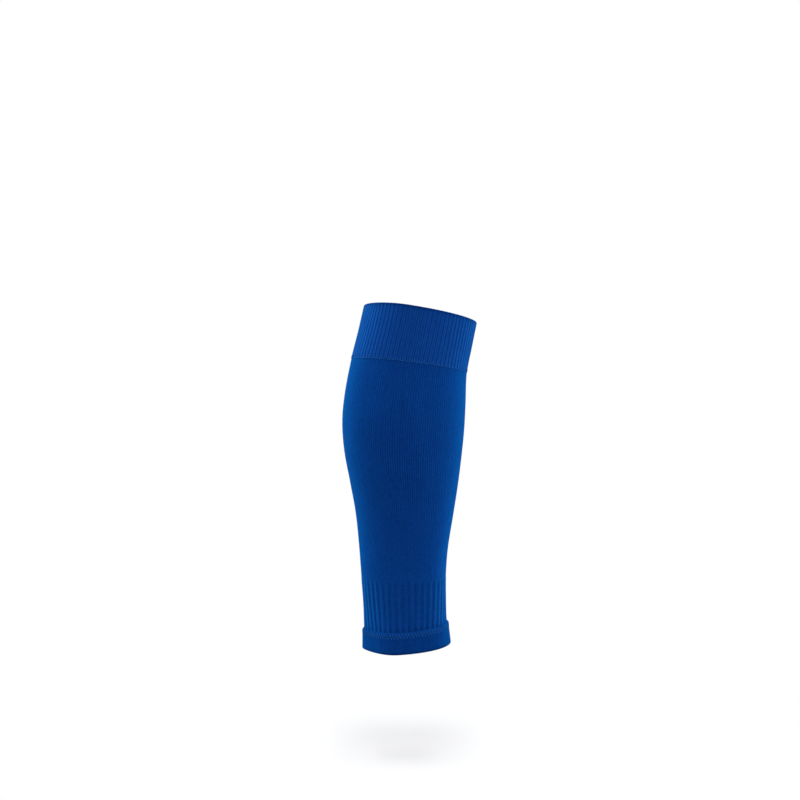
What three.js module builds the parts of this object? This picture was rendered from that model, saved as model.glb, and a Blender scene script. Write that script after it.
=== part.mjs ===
// Footless football sock: a knitted sleeve, hollow from end to end, in the form it takes on a right leg.
// Millimetres. +Z runs up the leg, +X points to the shin and -Y to the outer side of the leg.
// The origin is the centre of the cuff's mouth, which sits just below the knee.
import * as THREE from "three";
import { LoftGeometry } from "three/addons/geometries/LoftGeometry.js";

// Each needle of the knitting machine makes one wale, a column of stitches that runs down the sleeve.
const NEEDLES = 160;
// Plain knit has no ribs, so every second wale is enough to follow its curve.
const PLAIN_POINTS = NEEDLES / 2;

// Heights of the four knitted zones, from the mouth down, and the gap between neighbours.
const CUFF_HEIGHT = 52;
const LEG_HEIGHT = 208.5;
const RIB_HEIGHT = 48;
const HEM_HEIGHT = 20.5;
const GAP = 0.3;

// Thicknesses of the knit. The cuff and the hem are folded double.
const LEG_WALL = 1.2;
const CUFF_WALL = 2.4;
const RIB_WALL = 1.9;
const HEM_WALL = 2.9;

// Ribs: for each needle of one repeat, 0 stands on the outline and 1 lies a full rib depth behind it.
const CUFF_RIB = { depth: 0.5, repeat: [0, 1] };
const ANKLE_RIB = { depth: 0.9, repeat: [0, 0, 1, 1] };
// The ankle ribs rise out of the plain knit over this height.
const RIB_FADE = 3;

// The plain knit lies midway between the crests and the grooves of the cuff.
const LEG_SET_BACK = CUFF_RIB.depth / 2;
// The turned hem stands this far proud of the ribs above it, with a rounded shoulder.
const HEM_STEP = 1.7;
const HEM_SHOULDER = 1.5;

// Levels where one zone ends and the next begins.
const CUFF_JOIN = -CUFF_HEIGHT;
const RIB_TOP = CUFF_JOIN - LEG_HEIGHT;
const HEM_TOP = RIB_TOP - RIB_HEIGHT;
const LOWER_EDGE = HEM_TOP - HEM_HEIGHT;

// Outline of the worn sleeve, one row for each level z.
// rise: height of the course's front over its back, because the courses slope.
// back, shin: the course's ends along X. widest: where along X it is broadest.
// outer, inner: half widths there, to the outer and the inner side of the leg.
// backTaper, shinTaper: 0 where that end is an ellipse, more where it is slimmer, less where it is fuller.
const COLUMNS = ["z", "rise", "back", "shin", "widest", "outer", "inner", "backTaper", "shinTaper"];
const OUTLINE = [
  [0, -17.6, -56.5, 56.6, -12, 58.0, 54.0, 0.16, 0],
  [-26, -16, -62.6, 51.4, -12, 57.5, 55.5, 0.08, 0],
  [CUFF_JOIN, -14, -69.3, 46.6, -13, 57.6, 57.6, 0, 0],
  [-85, -11.5, -75.8, 45.3, -17, 58.2, 60.0, 0, 0],
  [-112, -10, -78.3, 43.8, -20, 57.4, 60.5, 0, 0],
  [-140, -8, -76.3, 41.0, -21, 54.2, 58.0, 0, 0],
  [-170, -6, -70.5, 37.2, -20.5, 49.5, 52.0, 0, -0.05],
  [-200, -3.5, -64.8, 32.6, -19, 44.0, 45.0, 0.03, -0.1],
  [-232, -1, -61.3, 27.6, -17.5, 39.2, 39.2, 0.07, -0.2],
  [RIB_TOP, 1.8, -59.0, 25.5, -17, 36.4, 36.2, 0.1, -0.25],
  [-285, 4.2, -57.0, 25.4, -18, 35.0, 34.8, 0.2, -0.18],
  [HEM_TOP, 6.7, -56.1, 26.1, -21, 34.8, 34.6, 0.45, -0.08],
  [LOWER_EDGE, 5.5, -56.1, 28.4, -21, 35.8, 35.6, 0.45, -0.05],
].map((row) => Object.fromEntries(COLUMNS.map((column, i) => [column, row[i]])));

// Slope of a column at one row, from the rows on either side of it.
function slopeAt(row, column) {
  const above = OUTLINE[Math.max(row - 1, 0)];
  const below = OUTLINE[Math.min(row + 1, OUTLINE.length - 1)];
  return (below[column] - above[column]) / (below.z - above.z);
}

// One column of the outline at any level, on a smooth curve through the rows.
function outlineAt(z, column) {
  const last = OUTLINE.length - 2;
  const found = OUTLINE.findIndex((row, i) => i > 0 && z >= row.z);
  const i = found < 0 ? last : found - 1;
  const upper = OUTLINE[i];
  const lower = OUTLINE[i + 1];
  const span = lower.z - upper.z;
  const t = (z - upper.z) / span;
  const start = upper[column];
  const end = lower[column];
  const leave = slopeAt(i, column) * span;
  const arrive = slopeAt(i + 1, column) * span;
  const bend = 2 * (start - end) + leave + arrive;
  const sweep = 3 * (end - start) - 2 * leave - arrive;
  return start + t * (leave + t * (sweep + t * bend));
}

// One closed course of the sleeve: four quarter ellipses, slimmed by the tapers,
// that meet where the leg is widest.
class Course extends THREE.Curve {
  constructor(z) {
    super();
    this.arcLengthDivisions = 4 * NEEDLES;
    for (const column of COLUMNS) {
      this[column] = outlineAt(z, column);
    }
  }

  // A point of the course, moved outwards by an offset.
  // The turn starts at the shin and goes by the inner side.
  place(turn, offset) {
    const along = Math.cos(turn);
    const across = Math.sin(turn);
    const depth = along > 0 ? this.shin - this.widest : this.widest - this.back;
    const width = across > 0 ? this.inner : this.outer;
    const taper = along > 0 ? this.shinTaper : this.backTaper;
    const slimmed = 1 - taper * along * along;
    const lean = slimmed + 2 * taper * across * across;
    const outward = new THREE.Vector2(width * along * lean, depth * across).normalize();
    const x = this.widest + depth * along + offset * outward.x;
    const y = width * across * slimmed + offset * outward.y;
    const tilt = (this.rise * (x - (this.back + this.shin) / 2)) / (this.shin - this.back);
    return new THREE.Vector3(x, y, this.z + tilt);
  }

  getPoint(t) {
    return this.place(t * 2 * Math.PI, 0);
  }
}

// Points spread evenly round one course, because the knit stretches evenly,
// and moved outwards by an offset that may change from point to point.
function ring(z, offset, points) {
  const course = new Course(z);
  return Array.from({ length: points }, (_, i) => {
    const turn = course.getUtoTmapping(i / points) * 2 * Math.PI;
    return course.place(turn, typeof offset === "function" ? offset(i) : offset);
  });
}

// Values spread evenly from one to another, both ends included.
function spread(from, to, count) {
  return Array.from({ length: count }, (_, i) => THREE.MathUtils.lerp(from, to, i / (count - 1)));
}

// Courses round a fold. Its angle is 0 on the outer face, 90 at the top and 180 on the inner face.
function foldCourses({ z, offset, radius }, fromAngle, toAngle, count, points) {
  return spread(fromAngle, toAngle, count).map((degrees) => {
    const angle = THREE.MathUtils.degToRad(degrees);
    return ring(z + radius * Math.sin(angle), offset + radius * Math.cos(angle), points);
  });
}

// The outer face of ribbed knit, as an offset for each needle.
function ribbed({ depth, repeat }) {
  return (needle) => -depth * repeat[needle % repeat.length];
}

// A closed wall: its courses run up the outside, over the top, down the inside and back to the first.
function knitBand(name, courses, colour, roughness) {
  const geometry = new LoftGeometry([...courses, courses[0]]);
  const material = new THREE.MeshStandardMaterial({ color: colour, roughness, metalness: 0 });
  const mesh = new THREE.Mesh(geometry, material);
  mesh.name = name;
  return mesh;
}

// Ribbed cuff, folded double, so that its upper edge is a round fold and its lower edge is the join.
function topCuff() {
  const bottom = CUFF_JOIN + GAP / 2;
  const radius = CUFF_WALL / 2;
  const fold = { z: -radius, offset: -radius, radius };
  const outside = spread(bottom, fold.z, 4).map((z) => ring(z, ribbed(CUFF_RIB), NEEDLES));
  const rim = foldCourses(fold, 45, 135, 3, NEEDLES);
  const inside = spread(fold.z, bottom, 4).map((z) => ring(z, -CUFF_WALL, NEEDLES));
  return knitBand("top_cuff", [...outside, ...rim, ...inside], 0x0d4a9c, 0.85);
}

// Plain-knit leg with the swell of the calf.
function legTube() {
  const bottom = RIB_TOP + GAP / 2;
  const top = CUFF_JOIN - GAP / 2;
  const outside = spread(bottom, top, 12).map((z) => ring(z, -LEG_SET_BACK, PLAIN_POINTS));
  const inside = spread(top, bottom, 9).map((z) => ring(z, -LEG_SET_BACK - LEG_WALL, PLAIN_POINTS));
  return knitBand("leg_tube", [...outside, ...inside], 0x0a4392, 0.88);
}

// Broad ribs that grip the ankle. They fade out at the top, where the plain knit begins.
function ankleRib() {
  const bottom = HEM_TOP + GAP / 2;
  const top = RIB_TOP - GAP / 2;
  const outside = spread(bottom, top - RIB_FADE, 3).map((z) => ring(z, ribbed(ANKLE_RIB), NEEDLES));
  const plainTop = ring(top, -LEG_SET_BACK, NEEDLES);
  const inside = spread(top, bottom, 3).map((z) => ring(z, -RIB_WALL, NEEDLES));
  return knitBand("ankle_rib", [...outside, plainTop, ...inside], 0x0a4292, 0.88);
}

// Turned hem: a double band that steps out under the ribs and ends in a round fold.
function bottomHem() {
  const top = HEM_TOP - GAP / 2;
  const radius = HEM_WALL / 2;
  const fold = { z: LOWER_EDGE + radius, offset: HEM_STEP - radius, radius };
  const shoulder = { z: top - HEM_SHOULDER, offset: HEM_STEP - HEM_SHOULDER, radius: HEM_SHOULDER };
  const middle = (fold.z + shoulder.z) / 2;
  const lowerEdge = foldCourses(fold, 180, 360, 5, PLAIN_POINTS);
  const outside = ring(middle, HEM_STEP, PLAIN_POINTS);
  const upperEdge = foldCourses(shoulder, 0, 90, 3, PLAIN_POINTS);
  const inside = [top, middle].map((z) => ring(z, HEM_STEP - HEM_WALL, PLAIN_POINTS));
  return knitBand("bottom_hem", [...lowerEdge, outside, ...upperEdge, ...inside], 0x0b4593, 0.86);
}

const sock = new THREE.Group();
sock.name = "footless_sock";
sock.add(topCuff(), legTube(), ankleRib(), bottomHem());

export default sock;
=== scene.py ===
"""Footless football sock: a sleeve knitted on a round former and pulled onto the form of a right lower leg.

The file is laid out as an add-on and is run as a script. Each zone of the knit is spun as a plain tube on
the former, where its wales and courses are easy to count, and is then pulled onto the leg's outline.
The outline is written in millimetres, and every other length is in metres.
"""

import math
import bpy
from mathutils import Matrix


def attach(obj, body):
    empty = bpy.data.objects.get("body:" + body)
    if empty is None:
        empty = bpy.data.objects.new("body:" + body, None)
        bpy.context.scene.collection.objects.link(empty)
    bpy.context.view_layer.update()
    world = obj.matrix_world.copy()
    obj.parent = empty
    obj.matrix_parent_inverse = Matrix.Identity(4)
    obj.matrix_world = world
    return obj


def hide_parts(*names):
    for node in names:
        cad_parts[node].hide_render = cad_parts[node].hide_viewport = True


bl_info = {
    "name": "Footless football sock",
    "version": (1, 0, 0),
    "blender": (4, 5, 0),
    "location": "View3D > Sidebar > Sock",
    "description": "Knits a footless football sock in its packed frame, with its studio",
    "category": "Add Mesh",
}

import bmesh
import bpy
import numpy as np
from bpy.props import FloatProperty, FloatVectorProperty, PointerProperty
from mathutils import Matrix, Vector

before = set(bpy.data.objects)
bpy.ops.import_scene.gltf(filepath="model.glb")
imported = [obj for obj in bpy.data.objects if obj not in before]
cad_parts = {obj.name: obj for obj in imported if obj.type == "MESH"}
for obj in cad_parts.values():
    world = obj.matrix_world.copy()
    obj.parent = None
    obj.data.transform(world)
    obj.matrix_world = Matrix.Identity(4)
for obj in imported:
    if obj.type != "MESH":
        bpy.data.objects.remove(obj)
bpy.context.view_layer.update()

MM = 0.001
FULL_TURN = 2 * math.pi

# Each needle knits one wale, a column of stitches that runs down the sleeve.
NEEDLES = 160
CUFF_RIBS = NEEDLES // 2
ANKLE_RIBS = NEEDLES // 4
# Mesh columns round the sleeve for each needle.
COLUMNS_PER_NEEDLE = 4
# Height of one course, a row of stitches.
COURSE = 1.2 * MM
# Radius of the former on which every zone is knitted.
FORMER_RADIUS = 50 * MM
# Like sectors of the former: one is spun, and the others are copies of it.
SECTORS = 20
# Points closer than this are joined where two sectors meet.
MERGE_DISTANCE = 0.01 * MM
# Edges that turn by more than this stay sharp.
SHARP_ANGLE = math.radians(60)
# Steps down the sleeve and round it, in the table that spreads the wales evenly.
EVEN_LEVELS = 160
EVEN_STEPS = 720

# Steps between the points of a profile, on the outer face and on the lining of each zone.
FACE_STEP = {"cuff": 1.8 * MM, "leg": 3 * MM, "rib": 1.5 * MM, "hem": 1.8 * MM}
LINING_STEP = {"cuff": 4 * MM, "leg": 9 * MM, "rib": 6 * MM, "hem": 4 * MM}
# The leg's face has finer steps in a narrow band under the join.
JOIN_BAND = 3 * MM
JOIN_BAND_STEP = 1 * MM
# Steps round a fold and round the hem's shoulder.
FOLD_STEPS = 10
SHOULDER_STEPS = 6

# Power that narrows the grooves between wales.
WALE_POWER = 1.5
# Share of a rib's depth that shows on its lining.
LINING_RELIEF = 0.6
# Heights over which the cuff's ribs fade out at the join, and the ankle ribs at their top.
JOIN_FADE = 2.5 * MM
RIB_FADE = 3 * MM
# The ankle ribs reach this far down behind the hem.
TUCK = 1.5 * MM

# Painted shade in the grooves and folds, from 0 to 1, and the reach of each shaded band.
# Cuff: painted shade on the flanks of its ribs, and on its rim at the mouth.
FLANK_SHADE = 0.32
RIM_SHADE, RIM_REACH = 0.9, 2.8 * MM
# Leg: painted shadow just under the join, below the cuff's edge.
JOIN_SHADE, JOIN_REACH = 0.35, 1.5 * MM
# Ankle ribs: painted shade in their grooves, and more of it near the hem.
GROOVE_SHADE = 0.2
NEAR_HEM_SHADE, NEAR_HEM_REACH = 0.24, 9 * MM
# Hem: painted shade on all of it under the shoulder, and more round its lower edge.
HEM_SHADE, HEM_REACH = 0.15, 3 * MM
EDGE_SHADE, EDGE_START, EDGE_REACH = 0.8, 2.5 * MM, 3 * MM

# Stitches of the join: how far they lie above it, and their length and thickness.
RIB_END_RISE = 1.9 * MM
RIB_END_SIZE = (2.8 * MM, 0.7 * MM)
LINK_RISE = 0.4 * MM
LINK_SIZE = (3.0 * MM, 0.6 * MM)
# Zigzag of the hem: how far its middle lies below the hem's top, its height and its thread's thickness,
# and the length and thickness of the thread at its turns.
ZIGZAG_DROP = 3.2 * MM
ZIGZAG_HEIGHT = 3.4 * MM
ZIGZAG_THICKNESS = 0.35 * MM
ZIGZAG_TURN_SIZE = (1.2 * MM, 0.6 * MM)

# Finish of each zone's knit.
# tone: brightness of the yarn. haze: trace of white fibre on it.
# sheen, softness: strength and spread of the soft light on it at a slant.
KNITS = {
    "cuff_rib_knit": {"tone": 1.37, "haze": 0.003, "sheen": 0.55, "softness": 0.49},
    "leg_plain_knit": {"tone": 1.155, "haze": 0.0007, "sheen": 0.64, "softness": 0.44},
    "ankle_broad_rib_knit": {"tone": 1.12, "haze": 0.0012, "sheen": 0.92, "softness": 0.44},
    "hem_plain_knit": {"tone": 0.98, "haze": 0.0005, "sheen": 0.5, "softness": 0.44},
}
# Colour of the sheen: its red grows with the haze, by this much, and its green and blue are set.
SHEEN_RED_BY_HAZE = 6
SHEEN_GREEN = 0.33
SHEEN_BLUE = 0.93
THREAD_SHEEN_TINT = (0.03, 0.30, 1.0, 1.0)
# Courses that a leg of a stitch climbs for each wale that it leans aside.
STITCH_SLANT = 1.1
# Shares of the yarn's colour at every point, on a strand and along the middle of a wale; where they fall
# short, the gap colour paints shade.
GAP_SHARE = 0.05
STRAND_SHARE = 0.35
WALE_SHARE = 0.60
# Spread of tone from stitch to stitch and over larger marks, and the loss of tone under full painted shade.
STITCH_SPREAD = 0.16
UNEVEN_SPREAD = 0.2
PAINTED_SHADE_LOSS = 0.3
# Least roughness of the yarn, and its spread from stitch to stitch.
ROUGHNESS = 0.82
ROUGHNESS_SPREAD = 0.10

# Floor: its radius, and where it starts to fade and is gone, from the middle outwards.
FLOOR_RADIUS = 2.0
FLOOR_FADE = (0.05, 0.4)
# Softboxes: place, width, height and power in watts, all turned to one aim.
LIGHT_AIM = (0, 0, -0.16)
SOFTBOXES = {
    "softbox_top": ((0, -0.3, 1.4), 2.0, 2.0, 40),
    "softbox_front": ((0, -1.4, -0.4), 1.2, 1.2, 4.2),
    "softbox_left": ((-1.4, -0.1, 0), 0.8, 1.4, 5.0),
    "softbox_right": ((1.4, -0.1, 0), 0.8, 1.4, 7.6),
    "softbox_rear_left": ((-1.1, 0.75, -0.3), 0.8, 1.4, 15),
    "softbox_rear_right": ((1.1, 0.75, -0.2), 0.8, 1.4, 13),
}
# Strength of the white surround as the camera sees it, and as it lights the sleeve.
SURROUND_SEEN = 1.0
SURROUND_LIGHT = 0.02
# Camera: its place, how far its aim rises on the way to the leg, and its lens and sensor in millimetres.
CAMERA_PLACE = (-20.4 * MM, -840 * MM, -108 * MM)
CAMERA_AIM_RISE = 22 * MM
LENS = 37.8
SENSOR_WIDTH = 36

# Outline of the worn sleeve, one row for each level. Lengths are in millimetres.
# rise: height of the course's front over its back, because the courses slope.
# back, shin: the course's ends along X. widest: where along X it is broadest.
# outer, inner: half widths there, to the outer and the inner side of the leg.
# back_taper, shin_taper: 0 where that end is an ellipse, more where it is slimmer, less where it is fuller.
OUTLINE_COLUMNS = ("level", "rise", "back", "shin", "widest", "outer", "inner", "back_taper", "shin_taper")
OUTLINE_UNITS = (MM, MM, MM, MM, MM, MM, MM, 1, 1)
OUTLINE = OUTLINE_UNITS * np.array([
    (0, -17.6, -56.5, 56.6, -12, 58.0, 54.0, 0.16, 0),
    (-26, -16, -62.6, 51.4, -12, 57.5, 55.5, 0.08, 0),
    (-52, -14, -69.3, 46.6, -13, 57.6, 57.6, 0, 0),
    (-85, -11.5, -75.8, 45.3, -17, 58.2, 60.0, 0, 0),
    (-112, -10, -78.3, 43.8, -20, 57.4, 60.5, 0, 0),
    (-140, -8, -76.3, 41.0, -21, 54.2, 58.0, 0, 0),
    (-170, -6, -70.5, 37.2, -20.5, 49.5, 52.0, 0, -0.05),
    (-200, -3.5, -64.8, 32.6, -19, 44.0, 45.0, 0.03, -0.1),
    (-232, -1, -61.3, 27.6, -17.5, 39.2, 39.2, 0.07, -0.2),
    (-260.5, 1.8, -59.0, 25.5, -17, 36.4, 36.2, 0.1, -0.25),
    (-285, 4.2, -57.0, 25.4, -18, 35.0, 34.8, 0.2, -0.18),
    (-308.5, 6.7, -56.1, 26.1, -21, 34.8, 34.6, 0.45, -0.08),
    (-329, 5.5, -56.1, 28.4, -21, 35.8, 35.6, 0.45, -0.05),
])


class SleeveSizes(bpy.types.PropertyGroup):
    """Sizes of the knitted zones"""

    cuff_height: FloatProperty(
        name="Cuff height", description="Ribbed cuff, from the mouth to the join",
        default=52 * MM, unit="LENGTH")
    leg_height: FloatProperty(
        name="Leg height", description="Plain knit, from the join to the ankle ribs",
        default=208.5 * MM, unit="LENGTH")
    rib_height: FloatProperty(
        name="Rib height", description="Ankle ribs, down to the hem",
        default=48 * MM, unit="LENGTH")
    hem_height: FloatProperty(
        name="Hem height", description="Turned hem, down to the lower edge",
        default=20.5 * MM, unit="LENGTH")
    cuff_wall: FloatProperty(
        name="Cuff wall", description="Thickness of the cuff, folded double",
        default=2.4 * MM, unit="LENGTH")
    leg_wall: FloatProperty(
        name="Leg wall", description="Thickness of the plain knit",
        default=1.2 * MM, unit="LENGTH")
    rib_wall: FloatProperty(
        name="Rib wall", description="Thickness of the ankle ribs",
        default=1.9 * MM, unit="LENGTH")
    hem_wall: FloatProperty(
        name="Hem wall", description="Thickness of the hem, turned double",
        default=2.9 * MM, unit="LENGTH")
    cuff_rib_depth: FloatProperty(
        name="Cuff rib depth", description="From the crest of a cuff rib to its groove",
        default=0.45 * MM, unit="LENGTH")
    ankle_rib_depth: FloatProperty(
        name="Ankle rib depth", description="From the crest of an ankle rib to its groove",
        default=0.58 * MM, unit="LENGTH")
    wale_depth: FloatProperty(
        name="Wale depth", description="Groove between two columns of stitches",
        default=0.16 * MM, unit="LENGTH")
    hem_step: FloatProperty(
        name="Hem step", description="How far the hem stands proud of the ribs",
        default=1.7 * MM, unit="LENGTH")
    hem_shoulder: FloatProperty(
        name="Hem shoulder", description="Height of the rounded upper edge of the hem",
        default=2.2 * MM, unit="LENGTH")
    set_back: FloatProperty(
        name="Set back", description="How far the plain knit lies behind the crests of the cuff",
        default=0.25 * MM, unit="LENGTH")
    floor_level: FloatProperty(
        name="Floor level", description="Height of the studio floor, below the mouth",
        default=-437 * MM, unit="LENGTH")


class SleeveColours(bpy.types.PropertyGroup):
    """Colours of the yarn and of the studio"""

    yarn: FloatVectorProperty(
        name="Yarn", description="Royal blue yarn of the whole sleeve",
        subtype="COLOR", default=(0.0034, 0.0565, 0.3080))
    # Painted shade: the yarn's blue as it looks in the shade between strands, between wales and in the
    # grooves.
    gap: FloatVectorProperty(
        name="Gap", description="Deep blue between the stitches and in the grooves",
        subtype="COLOR", default=(0.0000, 0.0258, 0.1750))
    thread: FloatVectorProperty(
        name="Thread", description="Paler blue thread of the join and of the hem's stitching",
        subtype="COLOR", default=(0.0380, 0.2000, 0.5200))
    studio: FloatVectorProperty(
        name="Studio", description="Pale floor",
        subtype="COLOR", default=(0.96, 0.96, 0.96))


def sizes():
    """The sleeve's sizes, as set in the panel."""
    return bpy.context.scene.sleeve_sizes


def colours():
    """The sleeve's colours, as set in the panel."""
    return bpy.context.scene.sleeve_colours


def zone_levels():
    """Levels of the mouth, the join, the top of the ankle ribs, the top of the hem and the lower edge."""
    size = sizes()
    heights = (size.cuff_height, size.leg_height, size.rib_height, size.hem_height)
    return [0.0, *(-np.cumsum(heights)).tolist()]


# The leg's form

def outline_at(level):
    """Columns of the outline at each of many levels, on smooth curves through its rows."""
    knots = OUTLINE[:, 0]
    last = len(knots) - 1
    above = np.maximum(np.arange(last + 1) - 1, 0)
    below = np.minimum(np.arange(last + 1) + 1, last)
    slopes = (OUTLINE[below] - OUTLINE[above]) / (knots[below] - knots[above])[:, None]
    row = np.clip(np.searchsorted(-knots, -level, side="right") - 1, 0, last - 1)
    span = (knots[row + 1] - knots[row])[:, None]
    step = (level - knots[row])[:, None] / span
    start, end = OUTLINE[row], OUTLINE[row + 1]
    leave, arrive = slopes[row] * span, slopes[row + 1] * span
    bend = 2 * (start - end) + leave + arrive
    sweep = 3 * (end - start) - 2 * leave - arrive
    curve = start + step * (leave + step * (sweep + step * bend))
    return dict(zip(OUTLINE_COLUMNS, curve.T))


def round_course(ring, turn, offset):
    """Points of a course, moved outwards by the offset: four quarter ellipses, slimmed by the tapers."""
    along, across = np.cos(turn), np.sin(turn)
    depth = np.where(along > 0, ring["shin"] - ring["widest"], ring["widest"] - ring["back"])
    width = np.where(across > 0, ring["inner"], ring["outer"])
    taper = np.where(along > 0, ring["shin_taper"], ring["back_taper"])
    slimmed = 1 - taper * along * along
    out_x = width * along * (slimmed + 2 * taper * across * across)
    out_y = depth * across
    steep = np.hypot(out_x, out_y)
    x = ring["widest"] + depth * along + offset * out_x / steep
    y = width * across * slimmed + offset * out_y / steep
    middle = (ring["back"] + ring["shin"]) / 2
    z = ring["level"] + ring["rise"] * (x - middle) / (ring["shin"] - ring["back"])
    return np.stack((x, y, z), axis=-1)


def even_turns():
    """Turns at which evenly spread wales lie: a row for each level and a column for each step."""
    levels = np.linspace(OUTLINE[0, 0], OUTLINE[-1, 0], EVEN_LEVELS + 1)
    turns = np.linspace(0, FULL_TURN, EVEN_STEPS + 1)
    rings = {name: column[:, None] for name, column in outline_at(levels).items()}
    courses = round_course(rings, turns[None, :], 0)
    gone = np.cumsum(np.linalg.norm(np.diff(courses, axis=1), axis=2), axis=1)
    gone = np.pad(gone, ((0, 0), (1, 0)))
    return np.array([np.interp(turns / FULL_TURN, row / row[-1], turns) for row in gone])


EVEN_TURNS = even_turns()


def on_leg(turn, offset, level):
    """Points on the leg's form. The knit stretches evenly: equal turns of the former take equal lengths."""
    steps = (turn / FULL_TURN) % 1 * EVEN_STEPS
    rows = np.clip(level / OUTLINE[-1, 0], 0, 1) * EVEN_LEVELS
    step = np.minimum(steps.astype(int), EVEN_STEPS - 1)
    row = np.minimum(rows.astype(int), EVEN_LEVELS - 1)
    across, down = steps - step, rows - row
    upper = EVEN_TURNS[row, step] * (1 - across) + EVEN_TURNS[row, step + 1] * across
    lower = EVEN_TURNS[row + 1, step] * (1 - across) + EVEN_TURNS[row + 1, step + 1] * across
    return round_course(outline_at(level), upper * (1 - down) + lower * down, offset)


# Knitting on the former

def spread(start, end, step):
    """Values from start to end, both included, about a step apart."""
    count = max(1, round(abs(end - start) / step))
    return np.linspace(start, end, count + 1).tolist()


def wall(offset, start, end, step):
    """Profile points up or down one face of the knit."""
    return [(offset, level) for level in spread(start, end, step)]


def bend(offset, level, radius, height, start, end, count):
    """Profile points round a fold. The angle is 0 on the outer face, 90 at the top, 180 on the lining."""
    angles = np.radians(np.linspace(start, end, count + 1))
    return [(offset + radius * math.cos(a), level + height * math.sin(a)) for a in angles]


def spin_wall(profile):
    """Spins a closed profile of offsets and levels over one sector of the former and repeats the sector."""
    knit = bmesh.new()
    along = knit.verts.layers.float.new("along")
    verts = [knit.verts.new((FORMER_RADIUS + offset, 0, level)) for offset, level in profile]
    length = 0.0
    for vert, before in zip(verts[1:], verts):
        length += (vert.co - before.co).length
        vert[along] = length
    edges = [knit.edges.new(pair) for pair in zip(verts, verts[1:] + verts[:1])]
    round_former = {"cent": (0, 0, 0), "axis": (0, 0, 1)}
    sector = FULL_TURN / SECTORS
    columns = NEEDLES * COLUMNS_PER_NEEDLE // SECTORS
    bmesh.ops.spin(knit, geom=verts + edges, angle=sector, steps=columns, **round_former)
    whole = [*knit.verts, *knit.edges, *knit.faces]
    bmesh.ops.spin(
        knit, geom=whole, angle=FULL_TURN - sector, steps=SECTORS - 1, use_duplicate=True, **round_former)
    bmesh.ops.remove_doubles(knit, verts=knit.verts, dist=MERGE_DISTANCE)
    bmesh.ops.recalc_face_normals(knit, faces=knit.faces)
    return knit


def to_mesh(knit, name):
    """Turns a bmesh into a smooth mesh."""
    mesh = bpy.data.meshes.new(name)
    knit.to_mesh(mesh)
    knit.free()
    mesh.shade_smooth()
    return mesh


def read_vertices(mesh):
    """Turn, offset and level of each vertex on the former."""
    places = np.empty(len(mesh.vertices) * 3, np.float32)
    mesh.vertices.foreach_get("co", places)
    x, y, z = places.reshape(-1, 3).astype(float).T
    return np.arctan2(y, x), np.hypot(x, y) - FORMER_RADIUS, z


def unwrapped(values, full):
    """Values at the corners of each face, with those past a seam raised by a full round."""
    return values + full * (values < values.max(axis=1, keepdims=True) - full / 2)


def map_knit(mesh, turn):
    """Writes the knit map: u counts wales and v counts courses, and both run on over their seams."""
    corners = np.empty(len(mesh.loops), np.int32)
    mesh.loops.foreach_get("vertex_index", corners)
    corners = corners.reshape(-1, 4)
    along = np.empty(len(mesh.vertices), np.float32)
    mesh.attributes["along"].data.foreach_get("value", along)
    wale = unwrapped(turn[corners], FULL_TURN) * NEEDLES / FULL_TURN
    course = unwrapped(along[corners], float(along.max())) / COURSE
    layer = mesh.uv_layers.new(name="knit")
    layer.data.foreach_set("uv", np.stack((wale, course), axis=-1).astype(np.float32).ravel())


def pull_onto_leg(mesh, turn, offset, level):
    """Moves a piece from the former onto the leg and marks the edges that stay sharp."""
    places = on_leg(turn, offset, level)
    mesh.vertices.foreach_set("co", places.astype(np.float32).ravel())
    mesh.update()
    mesh.set_sharp_from_angle(angle=SHARP_ANGLE)


def groove(turn, repeats):
    """0 on the crest of each repeat and 1 in the groove between two."""
    return (1 - np.cos(turn * repeats)) / 2


def wale_groove(turn):
    """0 on the crest of each wale and 1 in the narrow groove between two."""
    return groove(turn, NEEDLES) ** WALE_POWER


def ease(value):
    """A smooth step from 0 to 1."""
    value = np.clip(value, 0, 1)
    return value * value * (3 - 2 * value)


def hem_face(level):
    """How far the hem's outer face stands off the outline: a round shoulder, then the full step."""
    size = sizes()
    *_, hem_top, _ = zone_levels()
    down = np.clip((hem_top - level) / size.hem_shoulder, 0, 1)
    return size.hem_step * np.sqrt(1 - (1 - down) ** 2)


def store_painted_shade(mesh, painted_shade):
    """Stores the painted shade of each vertex in the grooves and folds, from 0 to 1, for the finish to
    darken.
    """
    layer = mesh.attributes.new("painted_shade", "FLOAT", "POINT")
    layer.data.foreach_set("value", painted_shade.astype(np.float32))


def add_piece(name, mesh, material):
    """Puts a finished mesh into the scene as a piece of the sleeve."""
    piece = bpy.data.objects.new(name, mesh)
    bpy.context.scene.collection.objects.link(piece)
    mesh.materials.append(material)
    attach(piece, "root")
    return piece


def knit_piece(name, node, profile, relief, material):
    """Makes one knitted zone: spun on the former, mapped, given its relief and its painted shade, and
    pulled onto the leg.
    """
    mesh = to_mesh(spin_wall(profile), name)
    turn, offset, level = read_vertices(mesh)
    map_knit(mesh, turn)
    # 1 on the outer face and 0 on the lining.
    share = (offset - offset.min()) / np.ptp(offset)
    move, painted_shade = relief(turn, level, share)
    pull_onto_leg(mesh, turn, offset + move, level)
    store_painted_shade(mesh, painted_shade)
    piece = add_piece(name, mesh, material)
    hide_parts(node)
    return piece


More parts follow.
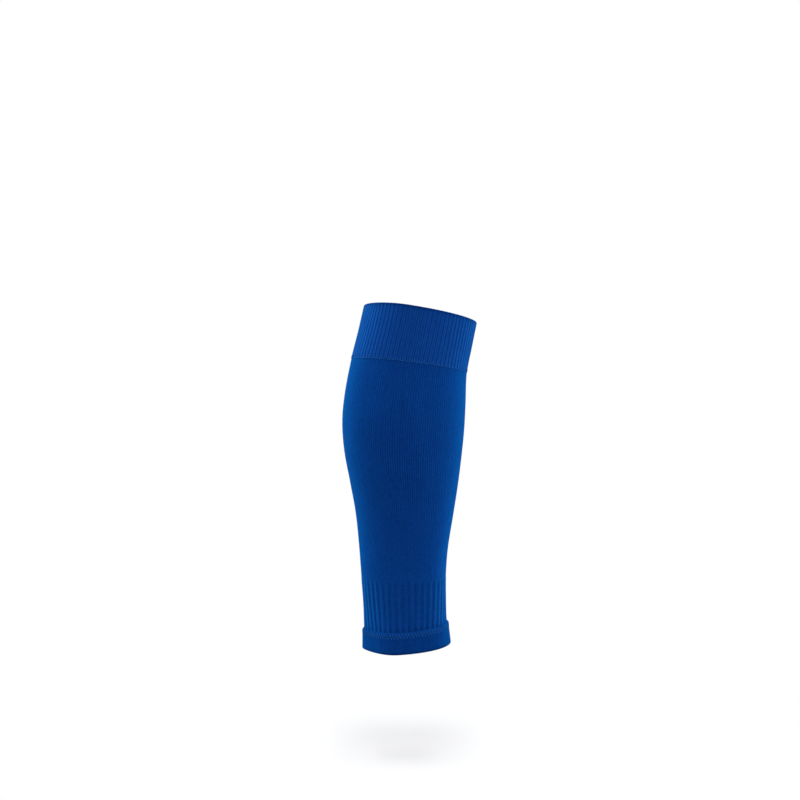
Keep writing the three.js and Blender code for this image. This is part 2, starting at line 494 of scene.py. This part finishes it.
def stitch_row(name, rows, material, face):
    """Makes rows of short stitches, each a stretched bead of thread, and lays them on a face of the knit.
    Each row gives level, count, length, thickness, tilt, and how late it starts as a share of a stitch."""
    thread = bmesh.new()
    for level, count, length, thickness, tilt, late in rows:
        bead = bmesh.ops.create_uvsphere(thread, u_segments=8, v_segments=5, radius=0.5)["verts"]
        bmesh.ops.scale(thread, vec=(thickness, thickness, length), verts=bead)
        bmesh.ops.rotate(thread, matrix=Matrix.Rotation(tilt, 3, "X"), verts=bead)
        bmesh.ops.translate(thread, vec=(FORMER_RADIUS, 0, level), verts=bead)
        step = FULL_TURN / count
        bmesh.ops.rotate(thread, matrix=Matrix.Rotation(step * late, 3, "Z"), verts=bead)
        edges = dict.fromkeys(edge for vert in bead for edge in vert.link_edges)
        faces = dict.fromkeys(side for vert in bead for side in vert.link_faces)
        bmesh.ops.spin(
            thread, geom=[*bead, *edges, *faces], cent=(0, 0, 0), axis=(0, 0, 1),
            angle=step * (count - 1), steps=count - 1, use_duplicate=True)
    mesh = to_mesh(thread, name)
    turn, offset, level = read_vertices(mesh)
    pull_onto_leg(mesh, turn, offset + face(level), level)
    return add_piece(name, mesh, material)


# Finishes

def put(tree, kind, inputs=None, **settings):
    """Adds a node, sets its options and fills its inputs with values or with other nodes' outputs."""
    node = tree.nodes.new(kind)
    for name, value in settings.items():
        setattr(node, name, value)
    for name, value in (inputs or {}).items():
        if isinstance(value, bpy.types.NodeSocket):
            tree.links.new(value, node.inputs[name])
        else:
            node.inputs[name].default_value = value
    return node


def reckon(tree, operation, *values):
    """Adds a Math node and returns its result."""
    return put(tree, "ShaderNodeMath", dict(enumerate(values)), operation=operation).outputs[0]


def mix_colours(tree, factor, first, second):
    """Adds a Mix node for colours and returns its result."""
    # The node's two colours are its inputs 6 and 7, and the mixed colour is its output 2.
    inputs = {"Factor": factor, 6: (*first, 1), 7: (*second, 1)}
    return put(tree, "ShaderNodeMix", inputs, data_type="RGBA").outputs[2]


def new_material(name):
    """A material with an empty node tree."""
    made = bpy.data.materials.new(name)
    made.use_nodes = True
    made.node_tree.nodes.clear()
    return made


def new_group(name, results):
    """An empty node group that takes the knit map, and the map itself inside it."""
    tree = bpy.data.node_groups.new(name, "ShaderNodeTree")
    tree.interface.new_socket("Knit", in_out="INPUT", socket_type="NodeSocketVector")
    for result in results:
        tree.interface.new_socket(result, in_out="OUTPUT", socket_type="NodeSocketFloat")
    return tree, put(tree, "NodeGroupInput").outputs["Knit"]


def stitch_group():
    """Node group of plain knit stitches: two slanted legs to each wale, one pair to each course."""
    name = "knit stitches"
    if name in bpy.data.node_groups:
        return bpy.data.node_groups[name]
    tree, given = new_group(name, ("Height", "Yarn", "Wale", "Tone"))
    knit = put(tree, "ShaderNodeSeparateXYZ", {"Vector": given})
    wale = reckon(tree, "ROUND", knit.outputs["X"])
    aside = reckon(tree, "ABSOLUTE", reckon(tree, "SUBTRACT", knit.outputs["X"], wale))
    climb = reckon(tree, "MULTIPLY", aside, STITCH_SLANT)
    risen = reckon(tree, "SUBTRACT", knit.outputs["Y"], climb)
    course = reckon(tree, "FLOOR", risen)
    # Across a leg from -1, in the middle of the wale, to 1 at its edge, where the leg falls away most.
    across = reckon(tree, "MULTIPLY_ADD", aside, 4.0, -1.0)
    fall = reckon(tree, "MULTIPLY_ADD", across, 0.3, 0.7)
    square = reckon(tree, "MULTIPLY", across, across)
    leg = reckon(tree, "SUBTRACT", 1.0, reckon(tree, "MULTIPLY", square, fall))
    up = reckon(tree, "MULTIPLY_ADD", reckon(tree, "FRACT", risen), 2.0, -1.0)
    strand = reckon(tree, "SUBTRACT", 1.0, reckon(tree, "MULTIPLY", up, up))
    height = reckon(tree, "SQRT", reckon(tree, "MULTIPLY", leg, strand))
    # Yarn and Wale mark the raised strands and the middles of the wales; elsewhere the finish paints shade
    # in the gap colour.
    yarn = put(tree, "ShaderNodeMapRange", {"Value": height, "From Min": 0.05, "From Max": 0.65},
               interpolation_type="SMOOTHSTEP")
    column = put(tree, "ShaderNodeMapRange", {"Value": aside, "From Min": 0.5, "From Max": 0.1},
                 interpolation_type="SMOOTHSTEP")
    cell = put(tree, "ShaderNodeCombineXYZ", {"X": wale, "Y": course})
    chance = put(tree, "ShaderNodeTexWhiteNoise", {"Vector": cell.outputs[0]}, noise_dimensions="2D")
    put(tree, "NodeGroupOutput", {
        "Height": height, "Yarn": yarn.outputs["Result"], "Wale": column.outputs["Result"],
        "Tone": chance.outputs["Value"]})
    return tree


def streak_group():
    """Node group of uneven tone about 0: streaks down the wales, broad soft patches and fine speckle."""
    name = "uneven tone"
    if name in bpy.data.node_groups:
        return bpy.data.node_groups[name]
    tree, given = new_group(name, ("Tone",))
    # A streak is about two wales wide and fifty courses long.
    long = put(tree, "ShaderNodeMapping", {"Vector": given, "Scale": (0.55, 0.02, 1.0)})
    streak = put(tree, "ShaderNodeTexNoise",
                 {"Vector": long.outputs[0], "Scale": 1.0, "Detail": 2.0}, noise_dimensions="2D")
    place = put(tree, "ShaderNodeTexCoord")
    patch = put(tree, "ShaderNodeTexNoise",
                {"Vector": place.outputs["Object"], "Scale": 45.0, "Detail": 3.0})
    speckle = put(tree, "ShaderNodeTexNoise",
                  {"Vector": place.outputs["Object"], "Scale": 420.0, "Detail": 1.0})
    # The speckle counts double, so the mean of all three is 2.
    both = reckon(tree, "ADD", streak.outputs["Fac"], patch.outputs["Fac"])
    all_three = reckon(tree, "MULTIPLY_ADD", speckle.outputs["Fac"], 2.0, both)
    put(tree, "NodeGroupOutput", {"Tone": reckon(tree, "SUBTRACT", all_three, 2.0)})
    return tree


def knit_material(name):
    """Blue knit: stitches with deep blue gaps of painted shade, uneven tone, and painted shade in the
    grooves and folds.
    """
    finish = KNITS[name]
    tone = finish["tone"]
    haze = finish["haze"]
    made = new_material(name)
    tree = made.node_tree
    tint = colours()
    knit = put(tree, "ShaderNodeUVMap", uv_map="knit").outputs["UV"]
    stitches = put(tree, "ShaderNodeGroup", {"Knit": knit}, node_tree=stitch_group())
    uneven = put(tree, "ShaderNodeGroup", {"Knit": knit}, node_tree=streak_group())
    # The yarn's full colour on the raised strands and along the wales, and the gap colour's painted shade
    # between them.
    filled = reckon(tree, "MULTIPLY_ADD", stitches.outputs["Yarn"], STRAND_SHARE, GAP_SHARE)
    filled = reckon(tree, "MULTIPLY_ADD", stitches.outputs["Wale"], WALE_SHARE, filled)
    # Painted shade: the grooves and folds take more of the gap colour and lose tone.
    painted_shade = put(tree, "ShaderNodeAttribute", attribute_name="painted_shade").outputs["Fac"]
    filled = reckon(tree, "MULTIPLY", filled, reckon(tree, "SUBTRACT", 1.0, painted_shade))
    hazy = [part * (1 - haze) + haze for part in tint.yarn]
    blue = mix_colours(tree, filled, tint.gap, hazy)
    shade = reckon(tree, "MULTIPLY_ADD", painted_shade, -PAINTED_SHADE_LOSS * tone, tone)
    shade = reckon(tree, "SUBTRACT", shade, STITCH_SPREAD / 2)
    shade = reckon(tree, "MULTIPLY_ADD", stitches.outputs["Tone"], STITCH_SPREAD, shade)
    shade = reckon(tree, "MULTIPLY_ADD", uneven.outputs["Tone"], UNEVEN_SPREAD, shade)
    toned = put(tree, "ShaderNodeVectorMath", {0: blue, "Scale": shade}, operation="SCALE")
    bump = put(tree, "ShaderNodeBump", {
        "Strength": 0.6, "Distance": 0.25 * MM, "Height": stitches.outputs["Height"]})
    rough = reckon(tree, "MULTIPLY_ADD", stitches.outputs["Tone"], ROUGHNESS_SPREAD, ROUGHNESS)
    surface = put(tree, "ShaderNodeBsdfPrincipled", {
        "Base Color": toned.outputs[0], "Roughness": rough, "Normal": bump.outputs["Normal"],
        "Specular IOR Level": 0.0, "Sheen Weight": finish["sheen"], "Sheen Roughness": finish["softness"],
        "Sheen Tint": (SHEEN_RED_BY_HAZE * haze, SHEEN_GREEN, SHEEN_BLUE, 1.0)})
    put(tree, "ShaderNodeOutputMaterial", {"Surface": surface.outputs[0]})
    return made


def thread_material(name):
    """Paler twisted thread."""
    made = new_material(name)
    tree = made.node_tree
    tint = colours()
    place = put(tree, "ShaderNodeTexCoord").outputs["Object"]
    patch = put(tree, "ShaderNodeTexNoise", {"Vector": place, "Scale": 900.0, "Detail": 2.0})
    blue = mix_colours(tree, patch.outputs["Fac"], tint.yarn, tint.thread)
    bump = put(tree, "ShaderNodeBump", {
        "Strength": 0.4, "Distance": 0.1 * MM, "Height": patch.outputs["Fac"]})
    surface = put(tree, "ShaderNodeBsdfPrincipled", {
        "Base Color": blue, "Roughness": 0.75, "Normal": bump.outputs["Normal"],
        "Specular IOR Level": 0.0, "Sheen Weight": 0.3, "Sheen Tint": THREAD_SHEEN_TINT})
    put(tree, "ShaderNodeOutputMaterial", {"Surface": surface.outputs[0]})
    return made


# Operators

class SLEEVE_OT_top_cuff(bpy.types.Operator):
    """Knit the ribbed cuff, folded double at the mouth"""

    bl_idname = "sleeve.top_cuff"
    bl_label = "Top cuff"

    def execute(self, context):
        size = sizes()
        mouth, join, *_ = zone_levels()
        radius = size.cuff_wall / 2
        fold = mouth - radius
        profile = [
            *wall(0, join, fold, FACE_STEP["cuff"]),
            *bend(-radius, fold, radius, radius, 0, 180, FOLD_STEPS)[1:-1],
            *wall(-size.cuff_wall, fold, join, LINING_STEP["cuff"]),
        ]
        depth = size.cuff_rib_depth

        def ribs(turn, level, share):
            dip = groove(turn, CUFF_RIBS)
            fade = ease((level - join) / JOIN_FADE)
            face = -depth * dip * fade - size.set_back * (1 - fade)
            lining = LINING_RELIEF * depth * (1 - dip)
            rim = ease((level - fold + RIM_REACH) / (radius + RIM_REACH))
            # 1 on the flanks of a rib, and 0 on its crest and in its groove.
            flank = (4 * dip * (1 - dip)) ** 2
            # Painted shade on the flanks of the ribs and round the rim at the mouth.
            painted_shade = FLANK_SHADE * flank * fade + RIM_SHADE * rim
            return share * face + (1 - share) * lining, painted_shade

        piece = knit_piece("top_cuff_knit", "top_cuff", profile, ribs,
                           knit_material("cuff_rib_knit"))
        return {"FINISHED"}


class SLEEVE_OT_leg_tube(bpy.types.Operator):
    """Knit the plain leg with the swell of the calf"""

    bl_idname = "sleeve.leg_tube"
    bl_label = "Leg tube"

    def execute(self, context):
        size = sizes()
        _, join, rib_top, *_ = zone_levels()
        face = -size.set_back
        lining = face - size.leg_wall
        band = join - JOIN_BAND
        profile = [
            *wall(face, rib_top, band, FACE_STEP["leg"]),
            *wall(face, band + JOIN_BAND_STEP, join, JOIN_BAND_STEP),
            *wall(lining, join, rib_top, LINING_STEP["leg"]),
        ]

        def wales(turn, level, share):
            # Painted shadow in a narrow band under the cuff's edge at the join.
            below_join = ease(1 - (join - level) / JOIN_REACH)
            return -share * size.wale_depth * wale_groove(turn), JOIN_SHADE * below_join

        piece = knit_piece("leg_tube_knit", "leg_tube", profile, wales,
                           knit_material("leg_plain_knit"))
        return {"FINISHED"}


class SLEEVE_OT_ankle_rib(bpy.types.Operator):
    """Knit the broad ribs that grip the ankle"""

    bl_idname = "sleeve.ankle_rib"
    bl_label = "Ankle rib"

    def execute(self, context):
        size = sizes()
        _, _, rib_top, hem_top, _ = zone_levels()
        tucked = hem_top - TUCK
        profile = [
            *wall(0, tucked, rib_top, FACE_STEP["rib"]),
            *wall(-size.rib_wall, rib_top, tucked, LINING_STEP["rib"]),
        ]
        depth = size.ankle_rib_depth

        def ribs(turn, level, share):
            dip = ease(groove(turn, ANKLE_RIBS))
            fade = ease((rib_top - level) / RIB_FADE)
            wale = size.wale_depth * wale_groove(turn)
            face = -depth * dip * fade - size.set_back * (1 - fade) - wale
            lining = LINING_RELIEF * depth * (1 - dip) * fade
            # Painted shade in the grooves, deeper close above the hem.
            near_hem = ease(1 - (level - hem_top) / NEAR_HEM_REACH)
            painted_shade = (GROOVE_SHADE + NEAR_HEM_SHADE * near_hem) * dip * fade
            return share * face + (1 - share) * lining, painted_shade

        piece = knit_piece("ankle_rib_knit", "ankle_rib", profile, ribs,
                           knit_material("ankle_broad_rib_knit"))
        return {"FINISHED"}


class SLEEVE_OT_bottom_hem(bpy.types.Operator):
    """Turn up the hem"""

    bl_idname = "sleeve.bottom_hem"
    bl_label = "Bottom hem"

    def execute(self, context):
        size = sizes()
        *_, hem_top, lower = zone_levels()
        radius = size.hem_wall / 2
        lining = size.hem_step - size.hem_wall
        # The fold at the lower edge is pressed to half its height.
        drop = radius / 2
        fold = lower + drop
        angles = np.radians(np.linspace(90, 0, SHOULDER_STEPS + 1))
        shoulder = hem_top - size.hem_shoulder * (1 - np.cos(angles))
        profile = [
            *wall(lining, hem_top, fold, LINING_STEP["hem"]),
            *bend(size.hem_step - radius, fold, radius, drop, 180, 360, FOLD_STEPS)[1:-1],
            *wall(size.hem_step, fold, shoulder[0], FACE_STEP["hem"]),
            *zip(hem_face(shoulder[1:]).tolist(), shoulder[1:].tolist()),
        ]

        def wales(turn, level, share):
            # Painted shade on the hem's face under its shoulder, and darker round its lower edge.
            band = ease((hem_top - size.hem_shoulder - level) / HEM_REACH)
            edge = ease((fold + EDGE_START - level) / EDGE_REACH)
            return -share * size.wale_depth * wale_groove(turn), HEM_SHADE * band + EDGE_SHADE * edge

        piece = knit_piece("bottom_hem_knit", "bottom_hem", profile, wales,
                           knit_material("hem_plain_knit"))
        return {"FINISHED"}


class SLEEVE_OT_stitching(bpy.types.Operator):
    """Stitch the cuff's join and the top of the hem"""

    bl_idname = "sleeve.stitching"
    bl_label = "Stitching"

    def execute(self, context):
        size = sizes()
        _, join, _, hem_top, _ = zone_levels()
        thread = thread_material("seam_thread")
        flat = math.radians(90)
        rib_ends = (join + RIB_END_RISE, CUFF_RIBS, *RIB_END_SIZE, 0, 0)
        links = (join + LINK_RISE, CUFF_RIBS, *LINK_SIZE, flat, 0.5)
        stitch_row("cuff_join_stitches", [rib_ends, links], thread,
                   lambda level: -size.set_back * ease(1 - (level - join) / JOIN_FADE))
        # One zigzag spans two wales, and a slanted thread goes half of it aside.
        count = NEEDLES // 2
        aside = FULL_TURN * FORMER_RADIUS / count / 2
        tilt = math.atan2(aside, ZIGZAG_HEIGHT)
        length = math.hypot(aside, ZIGZAG_HEIGHT)
        middle = hem_top - ZIGZAG_DROP
        top, bottom = middle + ZIGZAG_HEIGHT / 2, middle - ZIGZAG_HEIGHT / 2
        zigzag = [
            (middle, count, length, ZIGZAG_THICKNESS, tilt, 0),
            (middle, count, length, ZIGZAG_THICKNESS, -tilt, 0.5),
            (top, count, *ZIGZAG_TURN_SIZE, flat, 0.75),
            (bottom, count, *ZIGZAG_TURN_SIZE, flat, 0.25),
        ]
        stitch_row("hem_stitches", zigzag, thread, hem_face)
        return {"FINISHED"}


class SLEEVE_OT_studio(bpy.types.Operator):
    """Set the floor, the lights and the camera"""

    bl_idname = "sleeve.studio"
    bl_label = "Studio"

    def execute(self, context):
        set_floor()
        set_lights()
        set_world()
        set_camera()
        return {"FINISHED"}


# Studio

def set_floor():
    """A pale round floor that fades into the white surround and is clear from below."""
    sheet = bmesh.new()
    bmesh.ops.create_circle(sheet, cap_ends=True, segments=96, radius=FLOOR_RADIUS)
    bmesh.ops.translate(sheet, vec=(0, 0, sizes().floor_level), verts=sheet.verts)
    floor = bpy.data.objects.new("studio_floor", to_mesh(sheet, "studio_floor"))
    bpy.context.scene.collection.objects.link(floor)
    made = new_material("studio_floor")
    tree = made.node_tree
    place = put(tree, "ShaderNodeTexCoord").outputs["Object"]
    flat = put(tree, "ShaderNodeVectorMath", {0: place, 1: (1, 1, 0)}, operation="MULTIPLY")
    away = put(tree, "ShaderNodeVectorMath", {0: flat.outputs[0]}, operation="LENGTH")
    near, far = FLOOR_FADE
    fade = put(tree, "ShaderNodeMapRange", {
        "Value": away.outputs["Value"], "From Min": near, "From Max": far}, interpolation_type="SMOOTHSTEP")
    pale = put(tree, "ShaderNodeBsdfDiffuse", {"Color": (*colours().studio, 1)})
    clear = put(tree, "ShaderNodeBsdfTransparent")
    under = put(tree, "ShaderNodeNewGeometry").outputs["Backfacing"]
    mixed = put(tree, "ShaderNodeMixShader", {
        0: reckon(tree, "MAXIMUM", fade.outputs["Result"], under), 1: pale.outputs[0], 2: clear.outputs[0]})
    put(tree, "ShaderNodeOutputMaterial", {"Surface": mixed.outputs[0]})
    floor.data.materials.append(made)


def add_softbox(name, place, width, height, power):
    """One softbox, turned to the common aim."""
    lamp = bpy.data.lights.new(name, "AREA")
    lamp.shape = "RECTANGLE"
    lamp.size = width
    lamp.size_y = height
    lamp.energy = power
    box = bpy.data.objects.new(name, lamp)
    box.location = place
    box.rotation_euler = (Vector(LIGHT_AIM) - Vector(place)).to_track_quat("-Z", "Y").to_euler()
    box.visible_camera = False
    bpy.context.scene.collection.objects.link(box)


def set_lights():
    """A strong softbox overhead, a weak one in front, and tall ones at both sides and behind."""
    for name, settings in SOFTBOXES.items():
        add_softbox(name, *settings)


def set_world():
    """A white surround for the camera, and a dimmer one for the light that it gives."""
    world = bpy.data.worlds.new("studio")
    bpy.context.scene.world = world
    world.use_nodes = True
    tree = world.node_tree
    tree.nodes.clear()
    path = put(tree, "ShaderNodeLightPath")
    dim = put(tree, "ShaderNodeBackground", {"Color": (1, 1, 1, 1), "Strength": SURROUND_LIGHT})
    white = put(tree, "ShaderNodeBackground", {"Color": (1, 1, 1, 1), "Strength": SURROUND_SEEN})
    mixed = put(tree, "ShaderNodeMixShader", {
        0: path.outputs["Is Camera Ray"], 1: dim.outputs[0], 2: white.outputs[0]})
    put(tree, "ShaderNodeOutputWorld", {"Surface": mixed.outputs[0]})


def set_camera():
    """A camera at the outer side of the leg, as high as the swell of the calf, turned up a little."""
    lens = bpy.data.cameras.new("camera")
    lens.sensor_width = SENSOR_WIDTH
    lens.lens = LENS
    camera = bpy.data.objects.new("camera", lens)
    camera.location = CAMERA_PLACE
    distance = -CAMERA_PLACE[1]
    camera.rotation_euler = (math.radians(90) + math.atan(CAMERA_AIM_RISE / distance), 0, 0)
    bpy.context.scene.collection.objects.link(camera)
    bpy.context.scene.camera = camera
    bpy.context.scene.view_settings.view_transform = "Standard"


class SLEEVE_PT_panel(bpy.types.Panel):
    """Sizes and colours of the sleeve, and the operators that make it"""

    bl_idname = "SLEEVE_PT_panel"
    bl_label = "Footless sock"
    bl_space_type = "VIEW_3D"
    bl_region_type = "UI"
    bl_category = "Sock"

    def draw(self, context):
        for group in (context.scene.sleeve_sizes, context.scene.sleeve_colours):
            for name in group.__annotations__:
                self.layout.prop(group, name)
        for operator in OPERATORS:
            self.layout.operator(operator.bl_idname)


OPERATORS = (
    SLEEVE_OT_top_cuff,
    SLEEVE_OT_leg_tube,
    SLEEVE_OT_ankle_rib,
    SLEEVE_OT_bottom_hem,
    SLEEVE_OT_stitching,
    SLEEVE_OT_studio,
)
CLASSES = (SleeveSizes, SleeveColours, *OPERATORS, SLEEVE_PT_panel)


def register():
    for each in CLASSES:
        bpy.utils.register_class(each)
    bpy.types.Scene.sleeve_sizes = PointerProperty(type=SleeveSizes)
    bpy.types.Scene.sleeve_colours = PointerProperty(type=SleeveColours)


def unregister():
    del bpy.types.Scene.sleeve_colours
    del bpy.types.Scene.sleeve_sizes
    for each in reversed(CLASSES):
        bpy.utils.unregister_class(each)


def main():
    register()
    bpy.ops.sleeve.top_cuff()
    bpy.ops.sleeve.leg_tube()
    bpy.ops.sleeve.ankle_rib()
    bpy.ops.sleeve.bottom_hem()
    bpy.ops.sleeve.stitching()
    bpy.ops.sleeve.studio()


if __name__ == "__main__":
    main()
